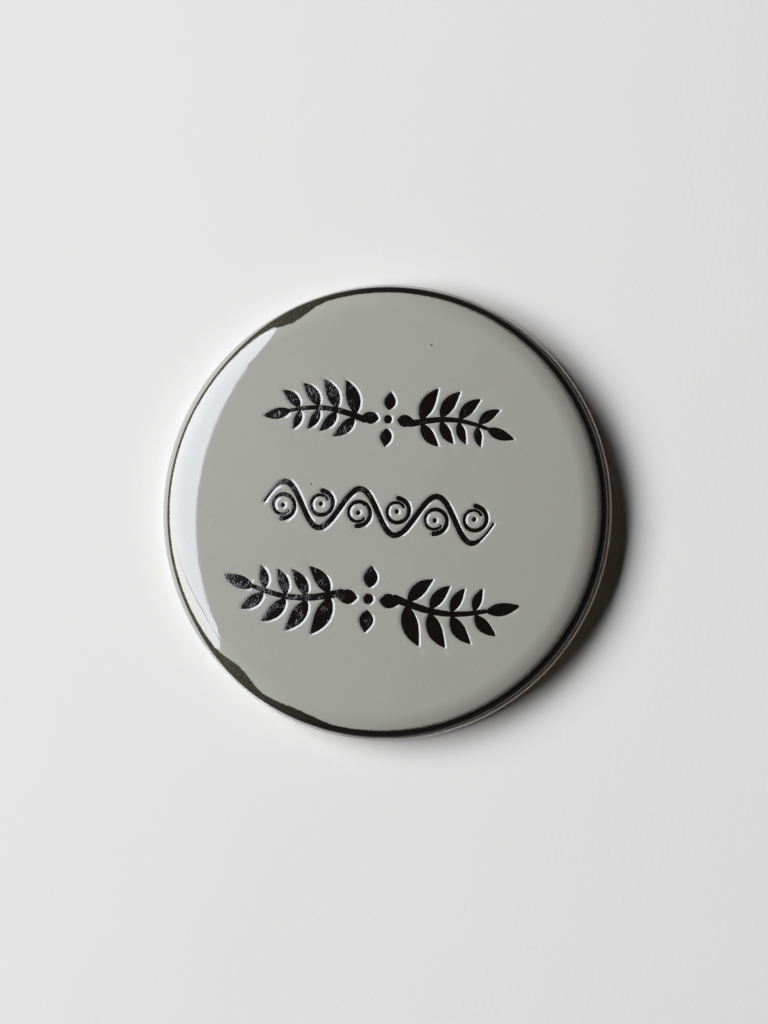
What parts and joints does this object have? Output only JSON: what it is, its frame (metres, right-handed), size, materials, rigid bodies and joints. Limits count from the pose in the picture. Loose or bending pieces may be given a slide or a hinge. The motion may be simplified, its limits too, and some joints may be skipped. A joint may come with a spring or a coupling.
{
  "type": "button badge",
  "caption": "Round domed pin-back badge: printed face under clear film, tinplate shell and back, and a spring wire pin with a needle that opens.",
  "frame": {"origin": "centre of the rest plane, the plane that the back plate's rim lies on", "axes": "+Z the way the printed face looks, +X the right-hand side of the artwork and the way the needle points, +Y the top of the artwork"},
  "size_m": [0.0582, 0.0582, 0.0059],
  "materials": {
    "clear_film": "clear glossy polyester film",
    "printed_paper": "coated paper printed warm grey with a black border and black marks",
    "tinplate_shell": "bright tinplate",
    "tinplate_back": "bright tinplate with fine rolling grain",
    "spring_steel": "nickel-plated spring wire"
  },
  "bodies": {
    "badge": {"clear_film": "clear_film", "print_disc": "printed_paper", "front_shell": "tinplate_shell", "back_plate": "tinplate_back", "pin_wire": "spring_steel"},
    "needle": {"pin_needle": "spring_steel"}
  },
  "joints": [
    {"name": "pin_open", "type": "hinge", "parent": "badge", "child": "needle", "pos_m": [-0.016, 0.00064, 0.00198], "axis": [0, 0.6428, 0.766], "range_deg": [0, 55]}
  ]
}
